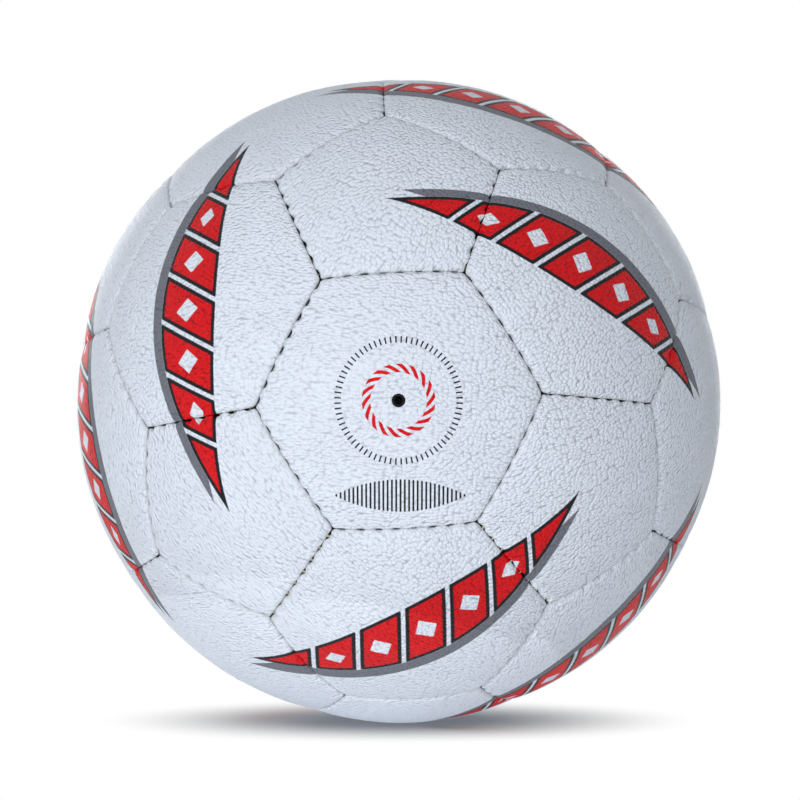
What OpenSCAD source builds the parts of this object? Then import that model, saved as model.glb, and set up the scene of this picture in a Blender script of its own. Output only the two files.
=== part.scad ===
// Hand-stitched handball, men's size. Thirty-two panels of synthetic leather, 20 hexagons
// and 12 pentagons, each turned inwards round its edge and laminated to a cloth lining,
// are sewn together over a rubber bladder with a needle valve.
// Millimetres. The origin is the ball's centre, +Z is up and the valve faces -Y.

/* [Ball] */
// Circumference of the inflated ball, over the crowns of its panels
circumference = 590; // [500:1:610]
// Turn of the panel pattern about the valve's axis, in degrees, anticlockwise from outside
pattern_turn = 2.8; // [-30:0.1:30]

/* [Cover] */
// Thickness of the synthetic leather
cover_t = 1.3; // [1:0.1:1.6]
// How much lower a panel lies at the middle of a seam than at its crown
crown_drop = 0.5; // [0.2:0.1:1]
// Radius with which the leather rolls over into a seam
roll_r = 2.5; // [2:0.1:2.8]
// Depth of the turned-in hem, from the ball's surface to the hem's inner end
hem_depth = 4.5; // [4.2:0.1:6]
// Gap between the two hems that meet in a seam
seam_gap = 0.1; // [0.05:0.01:0.2]

/* [Lining] */
// Thickness of the laminated cloth lining at the middle of a panel
lining_t = 2.9; // [2:0.1:3.2]
// Clearance round a lining, to its leather
lining_clear = 0.05; // [0.02:0.01:0.1]

/* [Stitching] */
// Thickness of the waxed thread
thread_d = 0.7; // [0.4:0.05:0.8]
// Distance from one stitch to the next
stitch_pitch = 4.75; // [4:0.05:6]
// Length of thread that crosses the seam at each stitch
stitch_l = 1; // [0.8:0.05:1.4]
// Clearance between a stitch and the rolled leather on each side
stitch_clear = 0.05; // [0.02:0.01:0.1]

/* [Bladder] */
// Thickness of the rubber bladder
bladder_t = 1; // [0.6:0.1:1.5]
// Clearance between the bladder and the hems
bladder_clear = 0.1; // [0.05:0.01:0.3]

/* [Valve] */
// Diameter of the hole punched in the valve panel
panel_hole_d = 3.5; // [3.3:0.1:4]
// Diameter of the valve core's head, which shows in that hole
core_head_d = 3.2; // [2.9:0.1:3.2]
// How far the head lies below the ball's surface
head_recess = 0.5; // [0.3:0.1:1]
// Diameter of the bore that takes the inflating needle
needle_bore_d = 2.1; // [2:0.05:2.3]
// Depth of the needle bore, below the head
needle_bore_l = 8; // [6:0.5:9]
// Diameter of the core's shank
core_d = 5; // [4.4:0.1:5.4]
// Length of the core's shank, below the leather
core_l = 10; // [9.5:0.5:12]
// Diameter of the bulb that locks the core in its housing
bulb_d = 6.4; // [6:0.1:6.6]
// Length of that bulb
bulb_l = 2.2; // [1.5:0.1:3]
// Clearance of the core in its housing
core_clear = 0.05; // [0.02:0.01:0.1]
// Diameter of the housing's neck, which fills the lining's hole
neck_d = 10; // [9:0.5:12]
// Clearance of the neck in the lining, the bladder and under the leather
neck_clear = 0.1; // [0.05:0.01:0.3]
// Diameter of the flange that is bonded inside the bladder
flange_d = 28; // [22:1:34]
// Thickness of that flange
flange_t = 1.2; // [0.8:0.1:2]
// Diameter of the housing at its inner tip
tip_d = 8; // [7.6:0.1:9]
// Thickness of the housing's floor, under the core
floor_t = 1.5; // [1:0.1:2.5]
// Diameter of the air way through that floor
air_way_d = 1.6; // [1:0.1:2]

/* [Hidden] */
$fn = 96;
FULL_TURN = 360;
// Sides of the two kinds of panel
HEXAGON = 6;
PENTAGON = 5;
// Room for rounding, in degrees, where panels are told apart by their angles
angle_room = 1;
// How much larger than the roll the fillet is cut, so that it crosses the leather and the
// hem at a slight crease
roll_excess_share = 0.05;
// How far cutting shapes run past what they cut
overrun = 1;

ball_r = circumference / (2 * PI);
// Half the width of the blocks that bound a wedge, well outside the ball
reach = 2 * ball_r;

function unit(v) = v / norm(v);
function angle_between(a, b) = acos(unit(a) * unit(b));

// The panels follow a truncated icosahedron. One of its triangles has these corners, which
// are the middles of three pentagons, and its own middle is that of a hexagon.
golden = (1 + sqrt(5)) / 2;
corner_a = [0, 1, golden];
corner_b = [0, -1, golden];
corner_c = [golden, 0, 1];
triangle_middle = corner_a + corner_b + corner_c;
// A seam between a pentagon and a hexagon runs from one of these two points to the other
seam_start = 2 * corner_a + corner_b;
seam_end = 2 * corner_a + corner_c;
seam_middle = seam_start + seam_end;
seam_arc = angle_between(seam_start, seam_end);
hexagon_half = angle_between(triangle_middle, seam_middle);
pentagon_half = angle_between(corner_a, seam_middle);

// The three cyclic orders of a vector's coordinates
function turned(v, k) = [v[k % 3], v[(k + 1) % 3], v[(k + 2) % 3]];
pentagon_pattern = [for (k = [0:2], s = [-1, 1], t = [-1, 1]) turned([0, s, t * golden], k)];
hexagon_pattern = concat(
    [for (s = [-1, 1], t = [-1, 1], u = [-1, 1]) [s, t, u]],
    [for (k = [0:2], s = [-1, 1], t = [-1, 1]) turned([s / golden, 0, t * golden], k)]
);

// The pattern is set with one hexagon on -Y and a pentagon above it, then turned about Y
valve_axis = unit(triangle_middle);
pattern_up = unit(corner_a - (corner_a * valve_axis) * valve_axis);
pattern_right = cross(-valve_axis, pattern_up);
function upright(v) = [v * pattern_right, -(v * valve_axis), v * pattern_up];
function spun(v) = [
    v.x * cos(pattern_turn) - v.z * sin(pattern_turn),
    v.y,
    v.x * sin(pattern_turn) + v.z * cos(pattern_turn)
];

// Panels are numbered in rings outwards from the valve, and clockwise in each ring
function ring_order(v) =
    FULL_TURN * round(atan2(norm([v.x, v.z]), -v.y))
    + (atan2(v.x, v.z) + FULL_TURN) % FULL_TURN;
function in_order(axes) = len(axes) < 2 ? axes : let (first = axes[0], key = ring_order(first))
concat(
    in_order([for (v = axes) if (ring_order(v) < key) v]),
    [first],
    in_order([for (v = axes) if (ring_order(v) > key) v])
);
hexagon_axes = in_order([for (v = hexagon_pattern) spun(upright(unit(v)))]);
pentagon_axes = in_order([for (v = pentagon_pattern) spun(upright(unit(v)))]);

// The most that a panel's middle and its neighbour's can lie apart, as an angle
hexagon_step = 2 * hexagon_half + angle_room;
mixed_step = hexagon_half + pentagon_half + angle_room;
function neighbours(axis, others, step) = [
    for (v = others) let (a = angle_between(axis, v)) if (a > angle_room && a < step) v
];

// A panel's crown is part of a sphere a little smaller than the ball, whose centre lies
// this far out along the panel's axis, so that it has dropped by crown_drop at its seams
seam_r = ball_r - crown_drop;
function crown_shift(half) = (ball_r^2 - seam_r^2) / (2 * (ball_r - seam_r * cos(half)));

hem_end_r = ball_r - hem_depth;
lining_in_r = ball_r - cover_t - lining_clear - lining_t;
bladder_r = min(hem_end_r, lining_in_r) - bladder_clear;
bladder_in_r = bladder_r - bladder_t;

// Heights along the valve's axis
head_top_z = ball_r - head_recess;
core_top_z = ball_r - cover_t - neck_clear;
core_end_z = core_top_z - core_l;
tip_z = core_end_z - core_clear - floor_t;
flange_r = bladder_in_r - core_clear;

// Stitches that fit on a seam, and how high each lies over the middle of the roll
stitch_count = floor(ball_r * seam_arc * PI / 180 / stitch_pitch);
roll_room = roll_r + seam_gap / 2 - stitch_l / 2 - stitch_clear;
stitch_rise = sqrt(roll_r^2 - roll_room^2) + thread_d / 2;

// Stands its children, drawn along +Z, on an axis, with +X towards a neighbour
module place(axis, toward) {
    side = unit(toward - (toward * axis) * axis);
    across = cross(axis, side);
    multmatrix([
        [side.x, across.x, axis.x, 0],
        [side.y, across.y, axis.y, 0],
        [side.z, across.z, axis.z, 0],
        [0, 0, 0, 1]
    ]) children();
}

// Turns its children from a panel's frame to a seam's: +X to the seam's middle, +Y along
// the seam and +Z square to it, into the panel
module at_seam(half) rotate([0, half - 90, 0]) children();

// The space between a panel's seam planes, each moved inwards by inset
module wedge(sides, half, inset) {
    intersection_for (i = [0 : sides - 1])
        rotate([0, 0, i * FULL_TURN / sides])
            at_seam(half)
                translate([-reach, -reach, inset])
                    cube([2 * reach, 2 * reach, reach]);
}

// What a panel loses where its edge rolls into the seam: a ring round the crown's centre
module roll_cut(half) {
    shift = crown_shift(half);
    wall_z = seam_gap / 2 - shift * sin(half);
    roll_z = wall_z + roll_r;
    roll_ring_r = sqrt((ball_r - shift - roll_r)^2 - roll_z^2);
    translate([0, 0, shift])
        at_seam(half)
            rotate_extrude(angle = 2 * seam_arc, start = -seam_arc)
                difference() {
                    translate([roll_ring_r, wall_z - overrun])
                        square([roll_r + overrun, roll_r + overrun]);
                    translate([roll_ring_r, roll_z])
                        circle(roll_r * (1 + roll_excess_share));
                }
}

// Rolls the edges of its child, one side after the other
module rolled(sides, half, side) {
    if (side < sides)
        difference() {
            rolled(sides, half, side + 1) children();
            rotate([0, 0, side * FULL_TURN / sides]) roll_cut(half);
        }
    else children();
}

// One leather panel, with its crown, its rolled edges and its turned-in hem
module panel(sides, half) {
    shift = crown_shift(half);
    difference() {
        rolled(sides, half, 0) intersection() {
            translate([0, 0, shift]) sphere(ball_r - shift);
            wedge(sides, half, seam_gap / 2);
        }
        intersection() {
            translate([0, 0, shift]) sphere(ball_r - shift - cover_t);
            wedge(sides, half, seam_gap / 2 + cover_t);
        }
        sphere(hem_end_r);
    }
}

// The cloth lining that is laminated to the back of a panel, inside its hem
module lining(sides, half) {
    shift = crown_shift(half);
    difference() {
        intersection() {
            translate([0, 0, shift]) sphere(ball_r - shift - cover_t - lining_clear);
            wedge(sides, half, seam_gap / 2 + cover_t + lining_clear);
        }
        sphere(lining_in_r);
    }
}

// The stitches of one seam, each a short length of thread across the groove
module stitch_row(half) {
    shift = crown_shift(half);
    roll_z = seam_gap / 2 - shift * sin(half) + roll_r;
    row_r = sqrt((ball_r - shift - roll_r)^2 - roll_z^2) + stitch_rise;
    step = stitch_pitch / row_r * 180 / PI;
    at_seam(half)
        translate([shift * cos(half), 0, 0])
            for (i = [0 : stitch_count - 1])
                rotate([0, 0, (i - (stitch_count - 1) / 2) * step])
                    translate([row_r, 0, 0])
                        cylinder(h = stitch_l, d = thread_d, center = true, $fn = 16);
}

module leather() color([0.89, 0.91, 0.95]) children();
module cloth() color([0.78, 0.76, 0.7]) children();
module thread() color([0.93, 0.9, 0.8]) children();
module black_rubber() color([0.12, 0.12, 0.13]) children();

module place_hexagon(i)
    place(hexagon_axes[i], neighbours(hexagon_axes[i], pentagon_axes, mixed_step)[0]) children();

module place_pentagon(i)
    place(pentagon_axes[i], neighbours(pentagon_axes[i], hexagon_axes, mixed_step)[0]) children();

module hexagon_panel(i) leather() place_hexagon(i) panel(HEXAGON, hexagon_half);

module pentagon_panel(i) leather() place_pentagon(i) panel(PENTAGON, pentagon_half);

// The panel with a punched hole over the valve
module valve_panel() leather() place_hexagon(0)
    difference() {
        panel(HEXAGON, hexagon_half);
        cylinder(h = ball_r + overrun, d = panel_hole_d, $fn = 48);
    }

// Its lining, with a larger hole for the valve's neck
module valve_panel_lining() cloth() place_hexagon(0)
    difference() {
        lining(HEXAGON, hexagon_half);
        cylinder(h = ball_r, d = neck_d + 2 * neck_clear, $fn = 48);
    }

module hexagon_linings() cloth()
    for (i = [1 : len(hexagon_axes) - 1]) place_hexagon(i) lining(HEXAGON, hexagon_half);

module pentagon_linings() cloth()
    for (i = [0 : len(pentagon_axes) - 1]) place_pentagon(i) lining(PENTAGON, pentagon_half);

// Thirty seams join two hexagons: each is sewn once, from the panel with the lower number
module hexagon_seam_stitches() thread()
    for (i = [0 : len(hexagon_axes) - 1])
        for (v = neighbours(hexagon_axes[i], hexagon_axes, hexagon_step))
            if (ring_order(v) > ring_order(hexagon_axes[i]))
                place(hexagon_axes[i], v) stitch_row(hexagon_half);

// Sixty seams join a pentagon to a hexagon
module pentagon_seam_stitches() thread()
    for (v = pentagon_axes)
        for (w = neighbours(v, hexagon_axes, mixed_step))
            place(v, w) stitch_row(pentagon_half);

// Turns its children, drawn along +Z, to the valve's axis
module on_valve_axis() rotate([90, 0, 0]) children();

// The inflated bladder, with a hole for the valve's neck
module bladder() color([0.16, 0.16, 0.17])
    difference() {
        sphere(bladder_r);
        sphere(bladder_in_r);
        on_valve_axis() cylinder(h = ball_r, d = neck_d + 2 * neck_clear, $fn = 48);
    }

// Rubber moulding: a neck up to the leather, a flange under the bladder and a tapered stem
module valve_housing() black_rubber() on_valve_axis()
    difference() {
        union() {
            intersection() {
                sphere(flange_r);
                difference() {
                    cylinder(h = ball_r, d = flange_d, $fn = 96);
                    sphere(flange_r - flange_t);
                }
            }
            translate([0, 0, flange_r - flange_t - overrun])
                cylinder(h = core_top_z - flange_r + flange_t + overrun, d = neck_d, $fn = 48);
            translate([0, 0, tip_z])
                cylinder(h = flange_r - flange_t - overrun - tip_z, d1 = tip_d, d2 = neck_d, $fn = 48);
        }
        translate([0, 0, core_end_z - core_clear])
            cylinder(h = core_l + core_clear + overrun, d = core_d + 2 * core_clear, $fn = 48);
        translate([0, 0, core_end_z - core_clear])
            cylinder(h = bulb_l + 2 * core_clear, d = bulb_d + 2 * core_clear, $fn = 48);
        translate([0, 0, tip_z - overrun])
            cylinder(h = floor_t + 2 * overrun, d = air_way_d, $fn = 48);
    }

// The soft rubber plug that the needle is pushed through
module valve_core() black_rubber() on_valve_axis()
    difference() {
        union() {
            translate([0, 0, core_end_z]) cylinder(h = core_l, d = core_d, $fn = 48);
            translate([0, 0, core_end_z]) cylinder(h = bulb_l, d = bulb_d, $fn = 48);
            translate([0, 0, core_end_z])
                cylinder(h = head_top_z - core_end_z, d = core_head_d, $fn = 48);
        }
        translate([0, 0, head_top_z - needle_bore_l])
            cylinder(h = needle_bore_l + overrun, d = needle_bore_d, $fn = 48);
    }

valve_panel();
for (i = [1 : len(hexagon_axes) - 1])
    hexagon_panel(i);
for (i = [1 : len(pentagon_axes)])
    pentagon_panel(i - 1);
valve_panel_lining();
hexagon_linings();
pentagon_linings();
hexagon_seam_stitches();
pentagon_seam_stitches();
bladder();
valve_housing();
valve_core();
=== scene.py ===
import math

import bmesh
import bpy
import numpy as np
from mathutils import Matrix, Vector


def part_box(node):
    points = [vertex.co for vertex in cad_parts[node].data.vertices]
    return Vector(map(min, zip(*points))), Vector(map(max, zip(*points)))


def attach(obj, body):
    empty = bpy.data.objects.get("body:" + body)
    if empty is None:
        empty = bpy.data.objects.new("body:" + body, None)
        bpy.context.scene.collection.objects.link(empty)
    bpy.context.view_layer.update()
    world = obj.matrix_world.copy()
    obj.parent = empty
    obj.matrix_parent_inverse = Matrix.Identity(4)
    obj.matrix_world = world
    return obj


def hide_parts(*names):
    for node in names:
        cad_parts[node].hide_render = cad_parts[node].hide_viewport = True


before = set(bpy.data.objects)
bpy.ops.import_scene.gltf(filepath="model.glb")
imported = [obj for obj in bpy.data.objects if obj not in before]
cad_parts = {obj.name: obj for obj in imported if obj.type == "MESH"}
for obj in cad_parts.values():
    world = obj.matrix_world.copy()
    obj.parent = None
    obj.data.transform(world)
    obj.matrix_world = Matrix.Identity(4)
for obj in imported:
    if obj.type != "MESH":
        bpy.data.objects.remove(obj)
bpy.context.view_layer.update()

# Bladder. A hollow ball of butyl rubber that holds the air, dipped on a form and vulcanised.
# It presses the linings and the cover outwards. It keeps its CAD shape.
MM = 0.001
BUTYL_BLACK = "2b2b2d"
BUTYL_BLOOM = "3a3a3b"
BUTYL_ROUGHNESS = 0.7
BLOOM_PATCHES_PER_M = 60
BUTYL_GRAIN_MM = 0.4
BUTYL_GRAIN_DEPTH_MM = 0.05


def linear(code):
    """An sRGB hex value as a linear colour, by the standard's own formula."""
    shares = [int(code[i:i + 2], 16) / 255 for i in (0, 2, 4)]
    return [s / 12.92 if s <= 0.04045 else ((s + 0.055) / 1.055) ** 2.4 for s in shares] + [1]


def add(tree, kind, inputs=None, out=0, **settings):
    """Adds a node with its settings and inputs, each a value or a socket, and gives an output."""
    node = tree.nodes.new("ShaderNode" + kind)
    for name, value in settings.items():
        setattr(node, name, value)
    for key, value in (inputs or {}).items():
        if isinstance(value, bpy.types.NodeSocket):
            tree.links.new(value, node.inputs[key])
        else:
            node.inputs[key].default_value = value
    return node.outputs[out]


# The inputs of a Mix node that take its share and its two colours, and its colour output
SHARE, FIRST, SECOND, MIXED = 0, 6, 7, 2


def finish_of(name, roughness):
    """A new material, its node tree and its shader."""
    material = bpy.data.materials.new(name)
    material.use_nodes = True
    shader = material.node_tree.nodes["Principled BSDF"]
    shader.inputs["Roughness"].default_value = roughness
    return material, material.node_tree, shader


def dress(node_name, material):
    """Gives a CAD node that keeps its shape its finish."""
    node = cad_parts[node_name]
    node.data.materials.clear()
    node.data.materials.append(material)


# Butyl rubber, dip moulded: a dull black with a faint grey bloom and a fine, dry grain
butyl, tree, shader = finish_of("butyl_rubber_dip_moulded", BUTYL_ROUGHNESS)
place = add(tree, "TexCoord", out="Object")
bloom = add(tree, "TexNoise", {"Vector": place, "Scale": BLOOM_PATCHES_PER_M, "Detail": 3})
tree.links.new(
    add(tree, "Mix", {SHARE: bloom, FIRST: linear(BUTYL_BLACK), SECOND: linear(BUTYL_BLOOM)},
        out=MIXED, data_type="RGBA"),
    shader.inputs["Base Color"],
)
grit = add(tree, "TexNoise", {"Vector": place, "Scale": 1 / (BUTYL_GRAIN_MM * MM), "Detail": 2})
tree.links.new(
    add(tree, "Bump", {"Height": grit, "Strength": 0.4, "Distance": BUTYL_GRAIN_DEPTH_MM * MM}),
    shader.inputs["Normal"],
)
dress("bladder", butyl)

# Valve housing. One moulding of natural rubber: a neck up to the leather, a flange bonded under
# the bladder and a tapered stem with a pocket for the core. It keeps its CAD shape.
MOULDED_BLACK = "0c0c0e"
MOULDED_WORN = "141416"
MOULDED_ROUGHNESS = 0.6
MOULDED_SHINE = 0.2
WORN_PATCHES_PER_M = 300
MOULD_GRAIN_MM = 0.25
MOULD_GRAIN_DEPTH_MM = 0.03

# Moulded rubber: black, a little glossier than the bladder, with the mould's fine matt texture
moulded, tree, shader = finish_of("moulded_valve_rubber", MOULDED_ROUGHNESS)
shader.inputs["Specular IOR Level"].default_value = MOULDED_SHINE
place = add(tree, "TexCoord", out="Object")
wear = add(tree, "TexNoise", {"Vector": place, "Scale": WORN_PATCHES_PER_M, "Detail": 3})
tree.links.new(
    add(tree, "Mix", {SHARE: wear, FIRST: linear(MOULDED_BLACK), SECOND: linear(MOULDED_WORN)},
        out=MIXED, data_type="RGBA"),
    shader.inputs["Base Color"],
)
texture = add(tree, "TexNoise", {"Vector": place, "Scale": 1 / (MOULD_GRAIN_MM * MM)})
tree.links.new(
    add(tree, "Bump", {"Height": texture, "Strength": 0.3, "Distance": MOULD_GRAIN_DEPTH_MM * MM}),
    shader.inputs["Normal"],
)
dress("valve_housing", moulded)

# Valve core. A soft rubber plug with a locking bulb at its inner end, pushed into the housing.
# Its rounded head shows in the panel's hole, with the funnel that guides the needle in.
CIRCUMFERENCE = 590
BALL_R = CIRCUMFERENCE / (2 * math.pi)
CORE_STEPS = 48
CORE_SHARP_ANGLE = math.radians(40)
BULB_R = 3.2
SHANK_R = 2.5
HEAD_R = 1.6
NEEDLE_BORE_R = 1.05
HEAD_TOP = BALL_R - 0.5
SHANK_TOP = BALL_R - 1.4
CORE_END = SHANK_TOP - 10
# Its outline from the inner end to the needle's bore: each radius, and how far out it lies
CORE_OUTLINE = [
    (0, CORE_END), (BULB_R - 0.2, CORE_END), (BULB_R, CORE_END + 0.2), (BULB_R, CORE_END + 2),
    (BULB_R - 0.2, CORE_END + 2.2), (SHANK_R, CORE_END + 2.3), (SHANK_R, SHANK_TOP - 0.1),
    (SHANK_R - 0.1, SHANK_TOP), (HEAD_R, SHANK_TOP), (HEAD_R, HEAD_TOP - 0.25),
    (1.54, HEAD_TOP - 0.09), (1.42, HEAD_TOP - 0.01), (1.3, HEAD_TOP - 0.02),
    (1.16, HEAD_TOP - 0.14), (NEEDLE_BORE_R, HEAD_TOP - 0.4), (NEEDLE_BORE_R, HEAD_TOP - 8),
    (0, HEAD_TOP - 8.4),
]
MERGE_MM = 0.001


def piece_from(mesh, name, material, slot, *nodes):
    """Makes a mesh in metres an object that rides on the ball and stands for its CAD nodes."""
    piece = bpy.data.objects.new(name, mesh)
    bpy.context.scene.collection.objects.link(piece)
    mesh.materials.append(material)
    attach(piece, "root")
    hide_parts(*nodes)


def mesh_from(shape, name):
    """Turns a bmesh in millimetres into a smooth mesh in metres, faces outwards."""
    bmesh.ops.remove_doubles(shape, verts=shape.verts, dist=MERGE_MM)
    bmesh.ops.recalc_face_normals(shape, faces=shape.faces)
    bmesh.ops.scale(shape, vec=(MM, MM, MM), verts=shape.verts)
    mesh = bpy.data.meshes.new(name)
    shape.to_mesh(mesh)
    shape.free()
    mesh.polygons.foreach_set("use_smooth", [True] * len(mesh.polygons))
    return mesh


core = bmesh.new()
points = [core.verts.new((r, 0, z)) for r, z in CORE_OUTLINE]
edges = [core.edges.new(pair) for pair in zip(points, points[1:])]
bmesh.ops.spin(
    core, geom=points + edges, axis=(0, 0, 1), angle=2 * math.pi, steps=CORE_STEPS, use_merge=True
)
bmesh.ops.rotate(core, matrix=Matrix.Rotation(math.pi / 2, 3, "X"), verts=core.verts)
core_mesh = mesh_from(core, "valve_core_plug")
core_mesh.set_sharp_from_angle(angle=CORE_SHARP_ANGLE)
piece_from(core_mesh, "valve_core_plug", moulded, "valve_rubber", "valve_core")

# Linings. Two or three layers of woven polyester and cotton, laminated to each other and to
# the back of each panel, cut to its shape inside the hem. They keep their CAD shapes.
CLOTH_WARP = "cbc5b4"
# The painted shade of the squares where the threads dip
CLOTH_DIPPED_SHADE = "b9b29f"
CLOTH_ROUGHNESS = 0.9
CLOTH_THREAD_MM = 0.5
SLUBS_PER_M = 900
WEAVE_DEPTH_MM = 0.1

# Laminated plain weave: off-white threads one over one, dull, with every other square of a checker a
# painted shade, slightly darker, where the threads dip
weave, tree, shader = finish_of("laminated_woven_cloth", CLOTH_ROUGHNESS)
place = add(tree, "TexCoord", out="Object")
checks = add(tree, "TexChecker", {"Vector": place, "Scale": 1 / (CLOTH_THREAD_MM * MM)}, out=1)
slubs = add(tree, "TexNoise", {"Vector": place, "Scale": SLUBS_PER_M, "Detail": 2})
tree.links.new(
    add(tree, "Mix", {SHARE: checks, FIRST: linear(CLOTH_WARP), SECOND: linear(CLOTH_DIPPED_SHADE)},
        out=MIXED, data_type="RGBA"),
    shader.inputs["Base Color"],
)
relief = add(tree, "Math", {0: checks, 1: slubs}, operation="ADD")
tree.links.new(
    add(tree, "Bump", {"Height": relief, "Strength": 0.5, "Distance": WEAVE_DEPTH_MM * MM}),
    shader.inputs["Normal"],
)
for node_name in ("valve_panel_lining", "hexagon_linings", "pentagon_linings"):
    dress(node_name, weave)

# Cover. Thirty-two panels of synthetic leather, 1.3 mm thick: 20 hexagons and 12 pentagons.
# Each edge is rolled over and turned in as a hem, and the panels are sewn hem to hem, so that
# every seam is a narrow valley with a small dark pit at each stitch and at each corner.
PENTAGONS = 12
HEXAGONS = 20
PATTERN_TURN = math.radians(2.8)
CROWN_DROP = 0.5
ROLL_R = 2.5
LEATHER_T = 1.3
HEM_BEND_DEPTH = 3.5
HEM_DEPTH = 4.5
SEAM_HALF_GAP = 0.05
FACE_RINGS = 84
GOLDEN = (1 + 5 ** 0.5) / 2
# How far apart, in radians, two angles may come out that are meant to be the same
ANGLE_SLACK = 0.01


def unit(v):
    """Vectors, one in each row, at length one."""
    return v / np.linalg.norm(v, axis=-1, keepdims=True)


# The panels' middles and corners, from the golden ratio as in the CAD source
signs = [(s, t) for s in (-1, 1) for t in (-1, 1)]
pentagons = np.array([np.roll((0, s, t * GOLDEN), k) for k in range(3) for s, t in signs])
joined = np.isclose(np.linalg.norm(pentagons[:, None] - pentagons[None], axis=2), 2)
hexagons = np.array([
    pentagons[i] + pentagons[j] + pentagons[k]
    for i in range(PENTAGONS) for j in range(i) for k in range(j)
    if joined[i, j] and joined[j, k] and joined[i, k]
])
corners = np.array([
    2 * pentagons[i] + pentagons[j]
    for i in range(PENTAGONS) for j in range(PENTAGONS) if joined[i, j]
])
above = np.array([0, 1, GOLDEN])
front = unit(above + np.array([0, -1, GOLDEN]) + np.array([GOLDEN, 0, 1]))
up = unit(above - (above @ front) * front)
upright = np.array([np.cross(-front, up), -front, up])
cos_t = math.cos(PATTERN_TURN)
sin_t = math.sin(PATTERN_TURN)
upright = np.array([[cos_t, 0, -sin_t], [0, 1, 0], [sin_t, 0, cos_t]]) @ upright
pentagons, hexagons, corners = (unit(v) @ upright.T for v in (pentagons, hexagons, corners))
HEXAGON_HALF = math.acos(np.sort(hexagons @ hexagons[0])[-2]) / 2
PENTAGON_HALF = math.acos(np.max(pentagons @ hexagons[0])) - HEXAGON_HALF
SEAM_ARC = math.acos(np.sort(corners @ corners[0])[-2])
SEAM_MM = SEAM_ARC * BALL_R


def around(axis, start):
    """The frame of a panel: its +Y lies towards start, and its +Z along its axis."""
    y = unit(start - (start @ axis) * axis)
    return np.array([np.cross(y, axis), y, axis])


def panel_layout(axis, sides):
    """A panel's frame and its corners' numbers, in turn about its axis from the one on +Y."""
    own = np.sort(np.argsort(-(corners @ axis))[:sides])
    axes = around(axis, corners[own[0]])
    seen = corners[own] @ axes.T
    turn = np.arctan2(-seen[:, 0], seen[:, 1]) % (2 * math.pi)
    turn[turn > 2 * math.pi - ANGLE_SLACK] = 0
    return axes, own[np.argsort(turn)]


# How far from the seam plane, and how deep, each ring of the hem and then of the back lies
HEM_RINGS = [(0, HEM_BEND_DEPTH), (0, HEM_DEPTH), (LEATHER_T, HEM_DEPTH), (LEATHER_T, LEATHER_T)]
BACK_SHARES = [0.2, 0.4, 0.6, 0.8]
LAST_RING = FACE_RINGS + len(HEM_RINGS) + len(BACK_SHARES)


def cut_blank(sides, hole_ring=None):
    """A panel's blank: its face in rings of triangles, then its hem and back in rings of quads."""
    blank = bmesh.new()
    bmesh.ops.create_circle(blank, cap_ends=True, cap_tris=True, segments=sides, radius=1)
    bmesh.ops.subdivide_edges(
        blank, edges=blank.edges[:], cuts=FACE_RINGS - 1, use_grid_fill=True
    )
    ring = blank.verts.layers.int.new("ring")
    reach = math.cos(math.pi / sides)
    normals = [
        Vector((-math.sin(a), math.cos(a), 0))
        for a in (math.pi / sides * (2 * i + 1) for i in range(sides))
    ]
    for vertex in blank.verts:
        vertex[ring] = round(max(n.dot(vertex.co) for n in normals) / reach * FACE_RINGS)
    rim = [e for e in blank.edges if e.is_boundary]
    for number in range(FACE_RINGS + 1, LAST_RING + 1):
        made = bmesh.ops.extrude_edge_only(blank, edges=rim)["geom"]
        for part in made:
            if isinstance(part, bmesh.types.BMVert):
                part[ring] = number
        rim = [e for e in made if isinstance(e, bmesh.types.BMEdge) and e.is_boundary]
    if hole_ring is None:
        back = bmesh.ops.holes_fill(blank, edges=rim, sides=0)["faces"]
        for vertex in bmesh.ops.poke(blank, faces=back)["verts"]:
            vertex[ring] = LAST_RING + 1
    else:
        inner = [v for v in blank.verts if v[ring] < hole_ring]
        bmesh.ops.delete(blank, geom=inner, context="VERTS")
        edge = [
            e for e in blank.edges
            if e.is_boundary and all(v[ring] == hole_ring for v in e.verts)
        ]
        for depth in (-1, -2):
            made = bmesh.ops.extrude_edge_only(blank, edges=edge)["geom"]
            for part in made:
                if isinstance(part, bmesh.types.BMVert):
                    part[ring] = depth
            edge = [e for e in made if isinstance(e, bmesh.types.BMEdge) and e.is_boundary]
        bmesh.ops.bridge_loops(blank, edges=edge + rim)
    bmesh.ops.recalc_face_normals(blank, faces=blank.faces)
    mesh = bpy.data.meshes.new("blank")
    blank.to_mesh(mesh)
    blank.free()
    return mesh


# The 90 seams, each from its corner with the lower number to the other, and how each was sewn:
# how far its stitches hold it open, how hard its panels press together, to which side it leans
# at a stitch, and how deep its thread lies. Each stitch has its own place and pull
SEWING_SEED = 7
STITCHES = 8
STITCH_PITCH = 4.75
STITCH_HALF_L = 1.15
OPEN_MM = (0.17, 0.3)
PRESS_MM = (0.8, 1.1)
ARCH_MM = 0.2
THREAD_DEPTHS_MM = (3.9, 3.6, 2.5)
THREAD_DEPTH_ODDS = (0.65, 0.23, 0.12)
PLACE_SPREAD_MM = 0.16
PULLS = (0.7, 1.25)
seams = [
    (i, j) for j in range(len(corners)) for i in range(j)
    if corners[i] @ corners[j] > math.cos(SEAM_ARC + ANGLE_SLACK)
]
seam_number = {pair: n for n, pair in enumerate(seams)}
chance = np.random.default_rng(SEWING_SEED)
seam_open = chance.uniform(*OPEN_MM, len(seams))
seam_press = chance.uniform(*PRESS_MM, len(seams))
seam_arch = chance.choice((-ARCH_MM, ARCH_MM), len(seams))
thread_depth = chance.choice(THREAD_DEPTHS_MM, len(seams), p=THREAD_DEPTH_ODDS)
stitch_at = (np.arange(STITCHES) - (STITCHES - 1) / 2) * STITCH_PITCH
stitch_at = stitch_at + chance.normal(0, PLACE_SPREAD_MM, (len(seams), STITCHES))
stitch_pull = chance.uniform(*PULLS, (len(seams), STITCHES))

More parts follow.
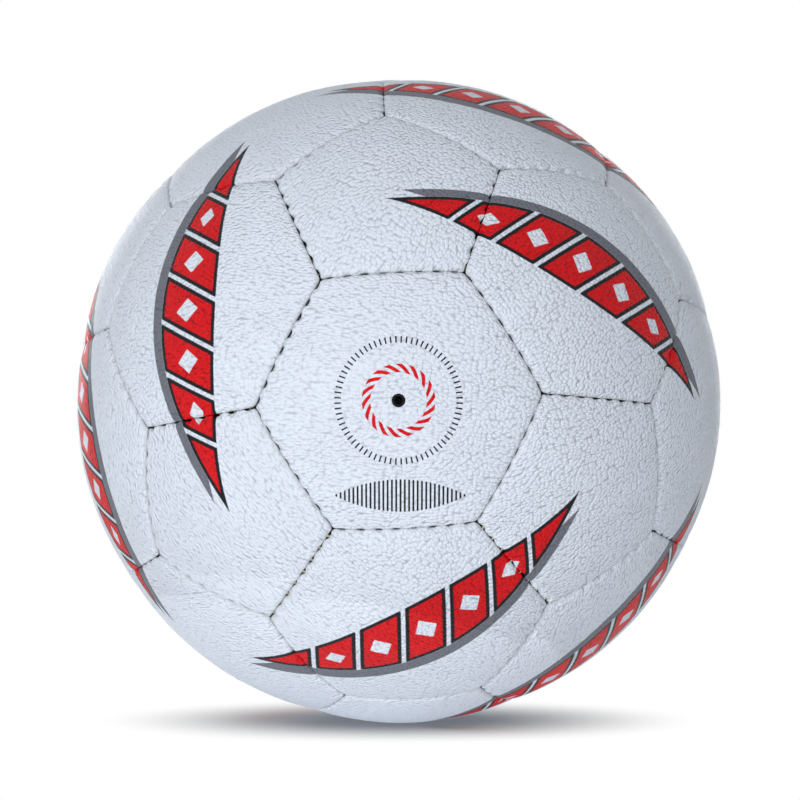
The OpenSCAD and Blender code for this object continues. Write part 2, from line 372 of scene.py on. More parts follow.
# The leather's faint ripples: waves in all directions through the ball, whose crests lie 2 pi
# times a length between these two apart
WAVES = 14
WAVE_MM = (1.1, 2.6)
wave_ways = unit(chance.normal(size=(WAVES, 3))) / chance.uniform(*WAVE_MM, (WAVES, 1))
wave_starts = chance.uniform(0, 2 * math.pi, WAVES)


def smooth(value, low, high):
    """A smooth step from 0 at low to 1 at high."""
    share = np.clip((value - low) / (high - low), 0, 1)
    return share * share * (3 - 2 * share)


CORNER_ROUNDING = 60
# How the folds press together: how far from the fold this fades and where it has ended, how
# much less they press near a corner and over how far, and how much more between two stitches
PRESS_RUN = (2, 9)
CORNER_EASE = 0.25
CORNER_REACH = 2
BETWEEN_STITCHES = 0.3
# A stitch's slit: how square its ends are, and how deep under the roll it goes
SLIT_SQUARENESS = 4
SLIT_BELOW_ROLL = 1.5
# How the face drops towards a seam, and how it dips at a stitch for each mm that the slit opens
SHOULDER_DROP = 0.3
SHOULDER_MM = 4
DIMPLE = 0.65
DIMPLE_MM = 1.2
# The valve's hole: the ring of the face that becomes its edge, its radius, how far the edge is
# rounded, and how far out the rings about it are hexagons again
HOLE_RING = 6
HOLE_R = 1.75
HOLE_EDGE_R = 0.15
HOLE_BLEND_MM = 8
# How high the ripples are, and how far from the fold they begin and are whole
RIPPLE_MM = 0.12
RIPPLE_RUN = (2, 6)
# The leather lies this much lower, so that its ripples stay within the CAD model
RIPPLE_ROOM = 0.05
# Keeps a division by a length from being one by nought
TINY = 1e-9


def formed(axes, own, half, flat, ring, holed=False):
    """A panel's points in mm, how far each is from the fold along the leather, and its UV."""
    sides = len(own)
    roll_run = ROLL_R * math.pi / 2
    run = (1 - ring / FACE_RINGS) * (half * BALL_R - SEAM_HALF_GAP - ROLL_R + roll_run)
    inset = np.where(run < roll_run, ROLL_R * (1 - np.cos(run / ROLL_R)), run - roll_run + ROLL_R)
    depth = np.where(run < roll_run, ROLL_R * (1 - np.sin(run / ROLL_R)), 0)
    back = [(share * half * BALL_R, LEATHER_T) for share in BACK_SHARES]
    for step, (ring_inset, ring_depth) in enumerate(HEM_RINGS + back):
        inset[ring == FACE_RINGS + 1 + step] = ring_inset
        depth[ring == FACE_RINGS + 1 + step] = ring_depth
    depth[ring > LAST_RING] = LEATHER_T
    run = np.maximum(run, 0)
    size = np.linalg.norm(flat, axis=1)
    way = flat / np.maximum(size, TINY)[:, None]
    turn = np.arctan2(-way[:, 0], way[:, 1]) % (2 * math.pi)
    side = np.minimum((turn / (2 * math.pi / sides)).astype(int), sides - 1)
    middles = math.pi / sides * (2 * np.arange(sides) + 1)
    facing = np.maximum(np.cos(turn[:, None] - middles), 0)
    rounded = (facing ** CORNER_ROUNDING).sum(1) ** (-1 / CORNER_ROUNDING)

    across = np.clip(half - (inset + SEAM_HALF_GAP) / BALL_R, 0, half)
    spot = np.column_stack([way * (np.tan(across) * rounded)[:, None], np.ones(len(way))])
    spot = unit(spot @ axes)
    opening = np.zeros(len(flat))
    press = np.zeros(len(flat))
    for i in range(sides):
        pair = tuple(sorted((own[i], own[(i + 1) % sides])))
        n = seam_number[pair]
        start, end = corners[pair[0]], corners[pair[1]]
        here = side == i
        along = BALL_R * np.arctan2(spot[here] @ unit(end - start), spot[here] @ unit(start + end))
        gaps = (along[:, None] - stitch_at[n]) / STITCH_HALF_L
        pulled = (stitch_pull[n] * np.exp(-gaps ** SLIT_SQUARENESS)).sum(1)
        arch = seam_arch[n] * np.sign(np.cross(start, end) @ axes[2])
        opening[here] = (seam_open[n] + arch) * pulled
        at_corner = smooth(np.abs(along), SEAM_MM / 2 - CORNER_REACH, SEAM_MM / 2)
        bulge = BETWEEN_STITCHES * (1 - np.minimum(pulled, 1))
        press[here] = seam_press[n] * (1 - CORNER_EASE * at_corner) + bulge

    # The folds press together, and part over the thread in a narrow slit at each stitch
    face = (ring >= 0) & (ring <= FACE_RINGS)
    front_edge = face | ((ring > FACE_RINGS) & (inset == 0))
    near = np.where(front_edge, 1 - smooth(run, *PRESS_RUN), 0)
    shallow = np.where(depth < ROLL_R + SLIT_BELOW_ROLL, 1, 0)
    inset = np.where(front_edge, np.maximum(inset - near * press, 0), inset)
    inset = inset + near * opening * shallow
    if holed:
        middle = half * BALL_R - SEAM_HALF_GAP
        reach = middle - inset
        hole_edge = HOLE_RING / FACE_RINGS * (middle - ROLL_R + roll_run)
        stretch = (HOLE_BLEND_MM - HOLE_R - HOLE_EDGE_R) / (HOLE_BLEND_MM - hole_edge)
        moved = HOLE_R + HOLE_EDGE_R + (reach - hole_edge) * stretch
        circle = 1 - smooth(reach, hole_edge, HOLE_BLEND_MM)
        circle[~face] = 0
        reach = np.where(face & (reach < HOLE_BLEND_MM), moved, reach)
        for step, hole_depth in ((-1, HOLE_EDGE_R), (-2, LEATHER_T)):
            reach[ring == step] = HOLE_R
            depth[ring == step] = hole_depth
            circle[ring == step] = 1
        inset = middle - reach
        rounded = rounded + (1 - rounded) * circle
    depth = depth + np.where(face | front_edge, SHOULDER_DROP * np.exp(-inset / SHOULDER_MM), 0)
    depth = depth + np.where(face, DIMPLE * np.abs(opening) * np.exp(-inset / DIMPLE_MM), 0)

    across = np.clip(half - (inset + SEAM_HALF_GAP) / BALL_R, 0, half)
    spot = np.column_stack([way * (np.tan(across) * rounded)[:, None], np.ones(len(way))])
    spot = unit(spot)
    seam_r = BALL_R - CROWN_DROP
    shift = (BALL_R ** 2 - seam_r ** 2) / (2 * (BALL_R - seam_r * math.cos(half)))
    lean = spot[:, 2]
    height = shift * lean + np.sqrt((BALL_R - shift) ** 2 - shift ** 2 * (1 - lean ** 2))
    spun = np.arccos(np.clip(lean, -1, 1)) * BALL_R
    pattern = spot[:, :2] / np.maximum(np.linalg.norm(spot[:, :2], axis=1), TINY)[:, None]
    spot = spot @ axes
    ripple = np.sin(spot @ wave_ways.T * BALL_R + wave_starts).mean(1)
    ripple = RIPPLE_MM * ripple * smooth(run, *RIPPLE_RUN)
    depth = depth + np.where(face, ripple, 0) + RIPPLE_ROOM
    return spot * (height - depth)[:, None], run, pattern * spun[:, None]


# The print: twelve tapered bands, one over each hexagon that touches one of four plain ones.
# A band is a row of slanted red blocks with white diamonds, black outlined, with a grey shade
BAND_HALF_L = 56
BAND_HALF_W = 9.4
BAND_BACK_MM = 5
BAND_BEND = 5
BLOCK_PITCH = 14
LAST_BLOCK = 3
BLOCK_GAP = 1.3
BLOCK_SLANT = 0.6
DIAMOND_HALF_L = 3.6
DIAMOND_SHARE = 0.44
OUTLINE_MM = 1.3
SHADE_SHIFT = (3, -3.4)
# How slim a band's ends are, the least half width that a diamond is worked out from and the
# least that is printed, and the value of a point that no band is near
TAPER_POWER = 1.2
LEAST_HALF_W = 0.1
LEAST_DIAMOND_HALF_W = 1.4
FAR_OUTSIDE_MM = -50.0
# The plain hexagons face as a regular tetrahedron's corners do: the valve's, the one of six
# behind it that faces farthest from a given way, and the two that fit both. The cosines are
# those of the angles between two of these, and between two hexagons that share a seam
TETRAHEDRON_COS = -1 / 3
NEIGHBOUR_COS = 5 ** 0.5 / 3
VALVE_WAY = (0, -1, 0)
SECOND_PLAIN_FROM = (-0.5, -0.33, -0.8)
plain = [hexagons[np.argmax(hexagons @ VALVE_WAY)]]
ring_of_six = hexagons[np.isclose(hexagons @ plain[0], TETRAHEDRON_COS)]
plain.append(ring_of_six[np.argmin(ring_of_six @ SECOND_PLAIN_FROM)])
plain = np.array(plain + [v for v in ring_of_six if np.isclose(v @ plain[1], TETRAHEDRON_COS)])


def taper(s, t):
    """How far inside a band's outline a point lies, in mm."""
    bow = math.pi / 2 * np.minimum(np.abs(s) / BAND_HALF_L, 1)
    width = BAND_HALF_W * np.cos(bow) ** TAPER_POWER
    slope = BAND_HALF_W * math.pi / 2 / BAND_HALF_L * np.sin(bow)
    beyond = -np.hypot(np.abs(s) - BAND_HALF_L, t)
    return np.where(np.abs(s) < BAND_HALF_L, (width - np.abs(t)) / np.sqrt(1 + slope ** 2), beyond)


def printed(spots):
    """How far inside a band, its blocks, their red and its shade each point lies, in mm."""
    spots = unit(spots)
    band, block, red, shade = (np.full(len(spots), FAR_OUTSIDE_MM) for _ in range(4))
    for hub in plain:
        for middle in hexagons[np.isclose(hexagons @ hub, NEIGHBOUR_COS)]:
            far = -plain[np.argmin(plain @ middle)]
            ahead = unit(far - (far @ middle) * middle)
            aside = np.cross(middle, ahead)
            hub_side = np.sign(hub @ aside)
            s = BALL_R * np.arctan2(spots @ ahead, spots @ middle) + BAND_BACK_MM
            t = BALL_R * np.arcsin(spots @ aside) * hub_side - BAND_BEND * (s / BAND_HALF_L) ** 2
            edge = taper(s, t)
            along = s + BLOCK_SLANT * t
            centre = np.round(np.clip(along / BLOCK_PITCH, -LAST_BLOCK, LAST_BLOCK)) * BLOCK_PITCH
            past = np.where(np.abs(along) > LAST_BLOCK * BLOCK_PITCH, 0, np.abs(along - centre))
            inner = (BLOCK_PITCH / 2 - past - BLOCK_GAP / 2) / math.hypot(1, BLOCK_SLANT)
            inner = np.minimum(inner, edge)
            half_w = DIAMOND_SHARE * np.maximum(taper(centre, 0 * s), LEAST_HALF_W)
            slim = DIAMOND_HALF_L * half_w / np.hypot(DIAMOND_HALF_L, half_w)
            clear = (np.abs(s - centre) / DIAMOND_HALF_L + np.abs(t) / half_w - 1) * slim
            fill = inner - OUTLINE_MM
            fill = np.where(half_w > LEAST_DIAMOND_HALF_W, np.minimum(fill, clear), fill)
            nearer = edge > band
            band = np.where(nearer, edge, band)
            block = np.where(nearer, inner, block)
            red = np.where(nearer, fill, red)
            shade = np.maximum(shade, taper(s - SHADE_SHIFT[0], t - SHADE_SHIFT[1]))
    return {"band_edge": band, "block_edge": block, "block_red": red, "shade_edge": shade}


LEATHER_WHITE = "e2ebf8"
# The painted shade in the grain's creases on the white skin
LEATHER_CREASE_SHADE = "d2dae8"
# A warm grey in the seam's folds, part grime and part painted shade
SEAM_GRIME_AND_SHADE = "b6b8b4"
# The nearly black painted shade deep between two folds of a seam
SEAM_DEPTHS_SHADE = "1e1d1b"
PRINT_RED = "d8121b"
# The painted shade in the grain's creases on the red print
RED_CREASE_SHADE = "940b12"
PRINT_BLACK = "0b0c14"
PRINT_GREY = "70747f"
LEATHER_ROUGHNESS = 0.45
LEATHER_SHINE = 0.15
# The grain: a cell's length and width, and the two sizes of pebble in it, each with how many
# times smaller it is and its share of the relief
CELL_MM = (1.22, 0.8)
PEBBLES = ((2, 0.2), (1, 1))
PEBBLE_SOFTNESS = 0.28
PEBBLE_DISORDER = 0.85
WRINKLE_SHARE = 0.15
WRINKLES_PER_CELL = 1.7
GRAIN_DEPTH_MM = 0.58
# Between which depths, on the relief's own scale, the skin takes the painted shade of a crease
CREASE_SHADE_DEPTHS = (0.25, 1.4)
# Over what length the grain's direction drifts, and how far
DRIFT_MM = 18
DRIFT_REACH_MM = DRIFT_MM / 4
# How far from the fold the grain is pulled smooth, and how much of it is left at the fold
SMOOTHED_RUN = (0.5, 3)
LEAST_GRAIN = 0.4
# Where the grime and painted shade of the folds and the black painted shade of the seam's depths
# fade, and how strong they are
GRIME_AND_SHADE_RUN = (2.2, 3.6)
GRIME_AND_SHADE_SHARE = 0.4
DEPTHS_SHADE_RUN = (1.1, 2)
DEPTHS_SHADE_SHARE = 0.9
# How sharp and how ragged the ink's edges are, and how far the red runs over its black outline
INK_SPREAD_MM = 0.12
INK_RAGGED_MM = 0.08
RED_OVERLAP_MM = 0.25


def leather(name, marked):
    """Synthetic leather: a cool white polyurethane skin, embossed with a pebbled grain."""
    material, tree, shader = finish_of(name, LEATHER_ROUGHNESS)
    shader.inputs["Specular IOR Level"].default_value = LEATHER_SHINE
    flat = add(tree, "UVMap", uv_map="grain")

    # The embossed cells are long lenses whose direction drifts over a panel
    drift = add(tree, "TexNoise", {"Vector": flat, "Scale": 1 / DRIFT_MM, "Detail": 1}, out=1)
    drift = add(tree, "VectorMath", {0: drift, 1: (0.5, 0.5, 0.5)}, operation="SUBTRACT")
    drift = add(tree, "VectorMath", {0: drift, "Scale": DRIFT_REACH_MM}, operation="SCALE")
    bent = add(tree, "VectorMath", {0: flat, 1: drift}, operation="ADD")
    cells_at = add(tree, "Mapping", {"Vector": bent, "Scale": (1 / CELL_MM[0], 1 / CELL_MM[1], 1)})
    wrinkle = add(tree, "TexNoise", {"Vector": cells_at, "Scale": WRINKLES_PER_CELL, "Detail": 3})
    sunk = add(tree, "Math", {0: wrinkle, 1: WRINKLE_SHARE}, operation="MULTIPLY")
    for scale, share in PEBBLES:
        pebble = add(tree, "TexVoronoi",
                     {"Vector": cells_at, "Scale": scale, "Smoothness": PEBBLE_SOFTNESS,
                      "Randomness": PEBBLE_DISORDER},
                     voronoi_dimensions="2D", feature="SMOOTH_F1")
        dome = add(tree, "Math", {0: pebble, 1: pebble}, operation="MULTIPLY")
        sunk = add(tree, "Math", {0: dome, 1: share, 2: sunk}, operation="MULTIPLY_ADD")
    crease_shade = add(tree, "MapRange", {"Value": sunk, "From Min": CREASE_SHADE_DEPTHS[0], "From Max": CREASE_SHADE_DEPTHS[1]})
    height = add(tree, "Math", {0: 0, 1: sunk}, operation="SUBTRACT")

    # The grain is pulled smooth where the leather bends over into a seam
    run = add(tree, "Attribute", attribute_name="seam_run", out=2)
    kept = add(tree, "MapRange", {"Value": run, "From Min": SMOOTHED_RUN[0],
                                  "From Max": SMOOTHED_RUN[1], "To Min": LEAST_GRAIN},
               interpolation_type="SMOOTHSTEP")
    height = add(tree, "Math", {0: height, 1: kept}, operation="MULTIPLY")
    bump = add(tree, "Bump", {"Height": height, "Strength": 1, "Distance": GRAIN_DEPTH_MM * MM})
    tree.links.new(bump, shader.inputs["Normal"])

    # Creases are a little darker, a painted shade, and the folds in a seam take a faint warm grey,
    # part grime and part painted shade
    crease_shade = add(tree, "Math", {0: crease_shade, 1: kept}, operation="MULTIPLY", use_clamp=True)
    skin = add(tree, "Mix", {SHARE: crease_shade, FIRST: linear(LEATHER_WHITE),
                             SECOND: linear(LEATHER_CREASE_SHADE)}, out=MIXED, data_type="RGBA")
    # The folds near a seam take a warm grey, part grime and part painted shade
    grime_and_shade = add(tree, "MapRange", {"Value": run, "From Min": GRIME_AND_SHADE_RUN[0],
                                   "From Max": GRIME_AND_SHADE_RUN[1], "To Min": GRIME_AND_SHADE_SHARE, "To Max": 0},
                interpolation_type="SMOOTHSTEP")
    skin = add(tree, "Mix", {SHARE: grime_and_shade, FIRST: skin, SECOND: linear(SEAM_GRIME_AND_SHADE)},
               out=MIXED, data_type="RGBA")
    # The red print takes the same painted shade in the creases
    red = add(tree, "Mix", {SHARE: crease_shade, FIRST: linear(PRINT_RED), SECOND: linear(RED_CREASE_SHADE)},
              out=MIXED, data_type="RGBA")

    # The print lies on the skin, so that the grain shows through it. Its fields are in mm
    colour = skin
    ragged = add(tree, "MapRange",
                 {"Value": wrinkle, "To Min": -INK_RAGGED_MM, "To Max": INK_RAGGED_MM})
    layers = (
        ("shade_edge", 0, linear(PRINT_GREY)), ("band_edge", 0, skin),
        ("block_edge", 0, linear(PRINT_BLACK)), ("block_edge", OUTLINE_MM, skin),
        ("block_red", -RED_OVERLAP_MM, red),
    )
    for field, start, ink in layers:
        inside = add(tree, "Attribute", attribute_name=field, out=2)
        inside = add(tree, "Math", {0: inside, 1: ragged}, operation="ADD")
        share = add(tree, "MapRange", {"Value": inside, "From Min": start - INK_SPREAD_MM,
                                       "From Max": start + INK_SPREAD_MM})
        colour = add(tree, "Mix", {SHARE: share, FIRST: colour, SECOND: ink},
                     out=MIXED, data_type="RGBA")
    if marked:
        colour = marks(tree, colour)

    # Deep between two folds the leather is painted nearly black, a painted shade
    deep_shade = add(tree, "MapRange", {"Value": run, "From Min": DEPTHS_SHADE_RUN[0],
                                  "From Max": DEPTHS_SHADE_RUN[1], "To Min": DEPTHS_SHADE_SHARE, "To Max": 0},
               interpolation_type="SMOOTHSTEP")
    colour = add(tree, "Mix", {SHARE: deep_shade, FIRST: colour, SECOND: linear(SEAM_DEPTHS_SHADE)},
                 out=MIXED, data_type="RGBA")
    tree.links.new(colour, shader.inputs["Base Color"])
    return material


# Fine print on the valve panel, in mm from the valve: a ring of ticks, a ring of red dashes
# and a lens-shaped hatch below them
TICK_RING_R = 15.6
TICKS = 72
TICK_HALF = (0.2, 0.85)
DASH_RING_R = 8.3
DASHES = 18
DASH_HALF = (0.75, 1.1)
DASH_SLANT = 0.16
HATCH_AT = (0.5, -24.4)
HATCH_HALF = (17.2, 4.2)
HATCH_PITCH = 1.1
HATCH_HALF_W = 0.24
FINE_SPREAD_MM = 0.05


def marks(tree, colour):
    """Lays the fine print over a colour."""
    place = add(tree, "TexCoord", out="Object")
    place = add(tree, "VectorMath", {0: place, "Scale": 1 / MM}, operation="SCALE")
    x = add(tree, "SeparateXYZ", {"Vector": place}, out="X")
    z = add(tree, "SeparateXYZ", {"Vector": place}, out="Z")
    turn = add(tree, "Math", {0: x, 1: z}, operation="ARCTAN2")
    reach = add(tree, "CombineXYZ", {"X": x, "Z": z})
    reach = add(tree, "VectorMath", {0: reach}, out="Value", operation="LENGTH")
    rings = (
        (TICK_RING_R, TICKS, TICK_HALF, 0, PRINT_BLACK),
        (DASH_RING_R, DASHES, DASH_HALF, DASH_SLANT, PRINT_RED),
    )
    for radius, count, half, slant, ink in rings:
        out_by = add(tree, "Math", {0: reach, 1: radius}, operation="SUBTRACT")
        bar = add(tree, "Math", {0: out_by, 1: slant, 2: turn}, operation="MULTIPLY_ADD")
        bar = add(tree, "Math", {0: bar, 1: count / (2 * math.pi), 2: count},
                  operation="MULTIPLY_ADD")
        bar = add(tree, "Math", {0: bar}, operation="FRACT")
        bar = add(tree, "Math", {0: bar, 1: 0.5}, operation="SUBTRACT")
        bar = add(tree, "Math", {0: bar}, operation="ABSOLUTE")
        bar = add(tree, "Math", {0: bar, 1: -2 * math.pi * radius / count, 2: half[0]},
                  operation="MULTIPLY_ADD")
        out_by = add(tree, "Math", {0: out_by}, operation="ABSOLUTE")
        out_by = add(tree, "Math", {0: half[1], 1: out_by}, operation="SUBTRACT")
        bar = add(tree, "Math", {0: bar, 1: out_by}, operation="MINIMUM")
        share = add(tree, "MapRange", {"Value": bar, "From Min": -FINE_SPREAD_MM,
                                       "From Max": FINE_SPREAD_MM})
        colour = add(tree, "Mix", {SHARE: share, FIRST: colour, SECOND: linear(ink)},
                     out=MIXED, data_type="RGBA")
    x = add(tree, "Math", {0: x, 1: HATCH_AT[0]}, operation="SUBTRACT")
    z = add(tree, "Math", {0: z, 1: HATCH_AT[1]}, operation="SUBTRACT")
    bar = add(tree, "Math", {0: x, 1: HATCH_PITCH / 2}, operation="PINGPONG")
    bar = add(tree, "Math", {0: HATCH_HALF_W, 1: bar}, operation="SUBTRACT")
    lens = add(tree, "Math", {0: x, 1: x}, operation="MULTIPLY")
    lens = add(tree, "Math", {0: lens, 1: -HATCH_HALF[1] / HATCH_HALF[0] ** 2, 2: HATCH_HALF[1]},
               operation="MULTIPLY_ADD")
    z = add(tree, "Math", {0: z}, operation="ABSOLUTE")
    lens = add(tree, "Math", {0: lens, 1: z}, operation="SUBTRACT")
    bar = add(tree, "Math", {0: bar, 1: lens}, operation="MINIMUM")
    share = add(tree, "MapRange", {"Value": bar, "From Min": -FINE_SPREAD_MM,
                                   "From Max": FINE_SPREAD_MM})
    return add(tree, "Mix", {SHARE: share, FIRST: colour, SECOND: linear(PRINT_BLACK)},
               out=MIXED, data_type="RGBA")


plain_leather = leather("embossed_synthetic_leather", False)
marked_leather = leather("embossed_leather_with_fine_print", True)
# How far a panel's place on the roll of leather lies from that of the others, at the most
ROLL_SHIFT_MM = 400


def panel_piece(name, axis, sides, half, blank, finish, holed=False):
    """One leather panel, cut from its blank, in the place of its CAD node."""
    mesh = blank.copy()
    mesh.name = name
    count = len(mesh.vertices)
    flat = np.empty(count * 3)
    ring = np.empty(count, int)
    mesh.vertices.foreach_get("co", flat)
    mesh.attributes["ring"].data.foreach_get("value", ring)
    mesh.attributes.remove(mesh.attributes["ring"])
    axes, own = panel_layout(axis, sides)
    flat = flat.reshape(-1, 3)[:, :2]
    spots, run, pattern = formed(axes, own, half, flat, ring, holed)
    mesh.vertices.foreach_set("co", (spots * MM).ravel())
    fields = printed(spots) | {"seam_run": run}
    for field, values in fields.items():
        mesh.attributes.new(field, "FLOAT", "POINT").data.foreach_set("value", values)
    turn = chance.uniform(0, 2 * math.pi)
    turned = np.array([[math.cos(turn), -math.sin(turn)], [math.sin(turn), math.cos(turn)]])
    pattern = pattern @ turned + chance.uniform(-ROLL_SHIFT_MM, ROLL_SHIFT_MM, 2)
    corner_of = np.empty(len(mesh.loops), int)
    mesh.loops.foreach_get("vertex_index", corner_of)
    mesh.uv_layers.new(name="grain").data.foreach_set("uv", pattern[corner_of].ravel())
    mesh.polygons.foreach_set("use_smooth", [True] * len(mesh.polygons))
    mesh.update()
    piece_from(mesh, name + "_leather", finish, "cover_leather", name)


def nearest(node_name, axes):
    """The axis on which a CAD panel lies."""
    low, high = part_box(node_name)
    return axes[np.argmax(axes @ np.array(low + high))]


hexagon_blank = cut_blank(6)
pentagon_blank = cut_blank(5)
valve_blank = cut_blank(6, HOLE_RING)
panel_piece("valve_panel", nearest("valve_panel", hexagons), 6, HEXAGON_HALF, valve_blank,
            marked_leather, True)
for number in range(1, HEXAGONS):
    name = f"hexagon_panel_{number}"
    panel_piece(name, nearest(name, hexagons), 6, HEXAGON_HALF, hexagon_blank, plain_leather)
for number in range(1, PENTAGONS + 1):
    name = f"pentagon_panel_{number}"
    panel_piece(name, nearest(name, pentagons), 5, PENTAGON_HALF, pentagon_blank, plain_leather)

# Stitching. Waxed polyester cord, sewn from inside with two needles, so that only a short rung
# of thread crosses the seam at each stitch, down in its pit between the two folds.
THREAD_R = 0.28
RUNG_REACH = 0.85
RUNG_SEGMENTS = 8
RUNG_FLATTENING = 0.75
RUNG_SLANT = math.radians(18)
# How much higher a rung lies that is pulled twice as hard
PULL_RISE_MM = 0.3
THREAD_CREAM = "cdc8a8"
THREAD_SHADED = "948e70"
THREAD_ROUGHNESS = 0.45
STRAND_MM = 0.25
STRAND_DEPTH_MM = 0.06

# Waxed cord: pale cream, a little shiny, with the dark lines between its twisted strands
cord, tree, shader = finish_of("waxed_polyester_cord", THREAD_ROUGHNESS)
place = add(tree, "TexCoord", out="Object")
strands = add(tree, "TexNoise", {"Vector": place, "Scale": 1 / (STRAND_MM * MM), "Detail": 2})
tree.links.new(
    add(tree, "Mix", {SHARE: strands, FIRST: linear(THREAD_CREAM), SECOND: linear(THREAD_SHADED)},
        out=MIXED, data_type="RGBA"),
    shader.inputs["Base Color"],
)
tree.links.new(
    add(tree, "Bump", {"Height": strands, "Strength": 0.5, "Distance": STRAND_DEPTH_MM * MM}),
    shader.inputs["Normal"],
)

rung = bmesh.new()
bmesh.ops.create_circle(rung, cap_ends=True, segments=RUNG_SEGMENTS, radius=THREAD_R)
bmesh.ops.translate(rung, vec=(RUNG_REACH, 0, 0), verts=rung.verts)
bmesh.ops.spin(
    rung, geom=rung.verts[:] + rung.edges[:] + rung.faces[:], axis=(0, -1, 0), angle=math.pi,
    steps=RUNG_SEGMENTS
)
bmesh.ops.holes_fill(rung, edges=[e for e in rung.edges if e.is_boundary])
bmesh.ops.scale(rung, vec=(1, 1, RUNG_FLATTENING), verts=rung.verts)
rung_mesh = mesh_from(rung, "rung")


def sewn(between_hexagons):
    """All the rungs of one kind of seam."""
    rungs = bmesh.new()
    for n, (i, j) in enumerate(seams):
        middle = unit(corners[i] + corners[j])
        if np.isclose(np.max(hexagons @ middle), np.sort(hexagons @ middle)[-2]) != between_hexagons:
            continue
        ahead = unit(corners[j] - corners[i])
        for at, pull in zip(stitch_at[n], stitch_pull[n]):
            out = unit(middle + ahead * math.tan(at / BALL_R))
            along = unit(ahead - (ahead @ out) * out)
            frame_of = Matrix(np.column_stack([np.cross(along, out), along, out])).to_4x4()
            spot = Vector(out * (BALL_R - thread_depth[n] + PULL_RISE_MM * (pull - 1)) * MM)
            stitch = rung_mesh.copy()
            stitch.transform(Matrix.Rotation(RUNG_SLANT * pull, 4, "Z"))
            stitch.transform(Matrix.Translation(spot) @ frame_of)
            rungs.from_mesh(stitch)
            bpy.data.meshes.remove(stitch)
    mesh = bpy.data.meshes.new("stitches")
    rungs.to_mesh(mesh)
    rungs.free()
    return mesh


for name, kind in (("hexagon_seam_stitches", True), ("pentagon_seam_stitches", False)):
    piece_from(sewn(kind), name + "_cord", cord, "stitching_thread", name)

# Floor. A lit table: a plain sheet of white acrylic that the ball stands on, with a lamp under
# it that the sheet lets through. It isn't part of the ball.
WHITE = "ffffff"
# The sheet's grey, seen only near the ball, where it is a painted shadow
FLOOR_SHADOW_GREY = "a6a6a8"
FLOOR_ROUGHNESS = 0.9
FLOOR_Z = -93.7
FLOOR_HALF_M = 3
FLOOR_CELLS = 8
# How far from the point of contact the painted shadow begins to fade and where the sheet is a pure
# white, and by how much less this is towards the camera and away from it
SHADOW_FADE_START_M = 0.02
SHADOW_FADE_END_M = 0.09
SHADOW_NARROWING = (1, 1.75, 0)


def seen_ray(tree):
    """One for a ray that the camera sends, straight or by way of a surface, and else nought."""
    straight, mirrored, let_through = (
        add(tree, "LightPath", out=name)
        for name in ("Is Camera Ray", "Is Glossy Ray", "Is Transmission Ray")
    )
    seen = add(tree, "Math", {0: straight, 1: mirrored}, operation="MAXIMUM")
    return add(tree, "Math", {0: seen, 1: let_through}, operation="MAXIMUM")


floor_shape = bmesh.new()
bmesh.ops.create_grid(
    floor_shape, x_segments=FLOOR_CELLS, y_segments=FLOOR_CELLS, size=FLOOR_HALF_M
)
bmesh.ops.translate(floor_shape, vec=(0, 0, FLOOR_Z * MM), verts=floor_shape.verts)
floor_mesh = bpy.data.meshes.new("floor")
floor_shape.to_mesh(floor_mesh)
floor_shape.free()
floor = bpy.data.objects.new("floor", floor_mesh)
bpy.context.scene.collection.objects.link(floor)

# White acrylic, grey near the ball: a painted shadow round the point of contact, over the real
# shadow of the lamps, and for the camera a pure white glow farther off, into which the painted
# shadow fades
acrylic, tree, shader = finish_of("white_acrylic_sheet", FLOOR_ROUGHNESS)
shader.inputs["Base Color"].default_value = linear(FLOOR_SHADOW_GREY)
shader.inputs["Specular IOR Level"].default_value = 0
place = add(tree, "TexCoord", out="Object")
place = add(tree, "VectorMath", {0: place, 1: SHADOW_NARROWING}, operation="MULTIPLY")
shadow_fade = add(tree, "VectorMath", {0: place}, out="Value", operation="LENGTH")
# The painted shadow fades from the sheet's grey to the white glow
shadow_fade = add(tree, "MapRange", {"Value": shadow_fade, "From Min": SHADOW_FADE_START_M, "From Max": SHADOW_FADE_END_M},
           interpolation_type="SMOOTHSTEP")
shadow_fade = add(tree, "Math", {0: shadow_fade, 1: seen_ray(tree)}, operation="MULTIPLY")
glow = add(tree, "Emission", {"Color": linear(WHITE), "Strength": 1})
sheet = add(tree, "MixShader", {0: shadow_fade, 1: shader.outputs[0], 2: glow})
tree.links.new(sheet, tree.nodes["Material Output"].inputs["Surface"])
floor_mesh.materials.append(acrylic)
floor.visible_shadow = False

# Light. A white studio: an even surround, which the camera sees as pure white and which lights
# the ball dimly, soft boxes in front, on the left and behind, and the table's lamp.
SURROUND = 0.295
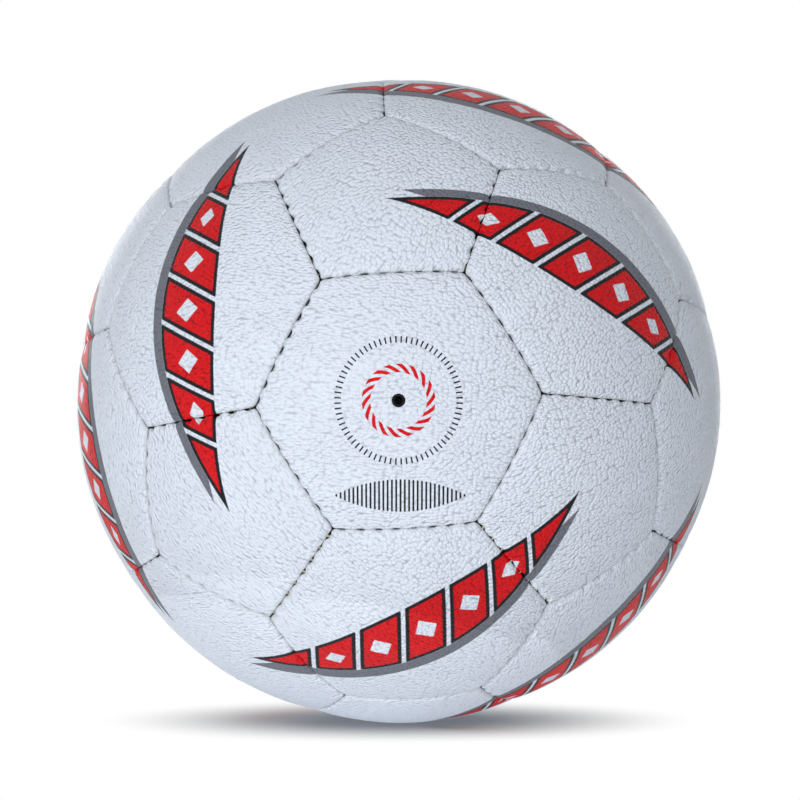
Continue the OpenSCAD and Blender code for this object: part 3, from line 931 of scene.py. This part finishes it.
# Each light: where it stands in metres, its size and its power in watts. All face the ball
BOXES = {
    "front_box": ((0.16, -2.2, 0.13), (2.2, 0.42), 26),
    "left_box": ((-1.6, -1.5, 0.2), (1.0, 0.55), 14.8),
    "back_box": ((-0.1, 2.2, 0.15), (2.0, 1.0), 40),
    "table_box": ((-0.15, -0.25, -0.9), (1.2, 1.2), 8.7),
}
scene = bpy.context.scene
world = bpy.data.worlds.new("studio")
scene.world = world
world.use_nodes = True
tree = world.node_tree
back = tree.nodes["Background"]
strength = add(tree, "MapRange", {"Value": seen_ray(tree), "To Min": SURROUND, "To Max": 1})
tree.links.new(strength, back.inputs["Strength"])
back.inputs["Color"].default_value = linear(WHITE)
for name, (spot, size, power) in BOXES.items():
    lamp = bpy.data.lights.new(name, "AREA")
    lamp.shape = "RECTANGLE"
    lamp.size, lamp.size_y = size
    lamp.energy = power
    box = bpy.data.objects.new(name, lamp)
    box.location = spot
    box.rotation_euler = Vector(spot).to_track_quat("Z", "Y").to_euler()
    box.visible_camera = False
    scene.collection.objects.link(box)

# Camera. Level with the middle of the ball and square to the valve's panel, as far off as this
# many times the ball's radius. The ball's outline and middle in the photo set its lens.
CAMERA_FAR = 7.6
OUTLINE_R_MM = 93.75
OUTLINE_R_PX = 322.17
MIDDLE_PX = (398.56, 400.44)
IMAGE_PX = 800
SENSOR_MM = 36
CLIP_START_M = 0.01
lens = bpy.data.cameras.new("camera")
lens.sensor_width = SENSOR_MM
lens.lens = lens.sensor_width * OUTLINE_R_PX * math.sqrt(CAMERA_FAR ** 2 - 1) / IMAGE_PX
lens.shift_x = 0.5 - MIDDLE_PX[0] / IMAGE_PX
lens.shift_y = MIDDLE_PX[1] / IMAGE_PX - 0.5
lens.clip_start = CLIP_START_M
camera = bpy.data.objects.new("camera", lens)
camera.location = (0, -CAMERA_FAR * OUTLINE_R_MM * MM, 0)
camera.rotation_euler = (math.pi / 2, 0, 0)
scene.collection.objects.link(camera)
scene.camera = camera
scene.view_settings.view_transform = "Standard"
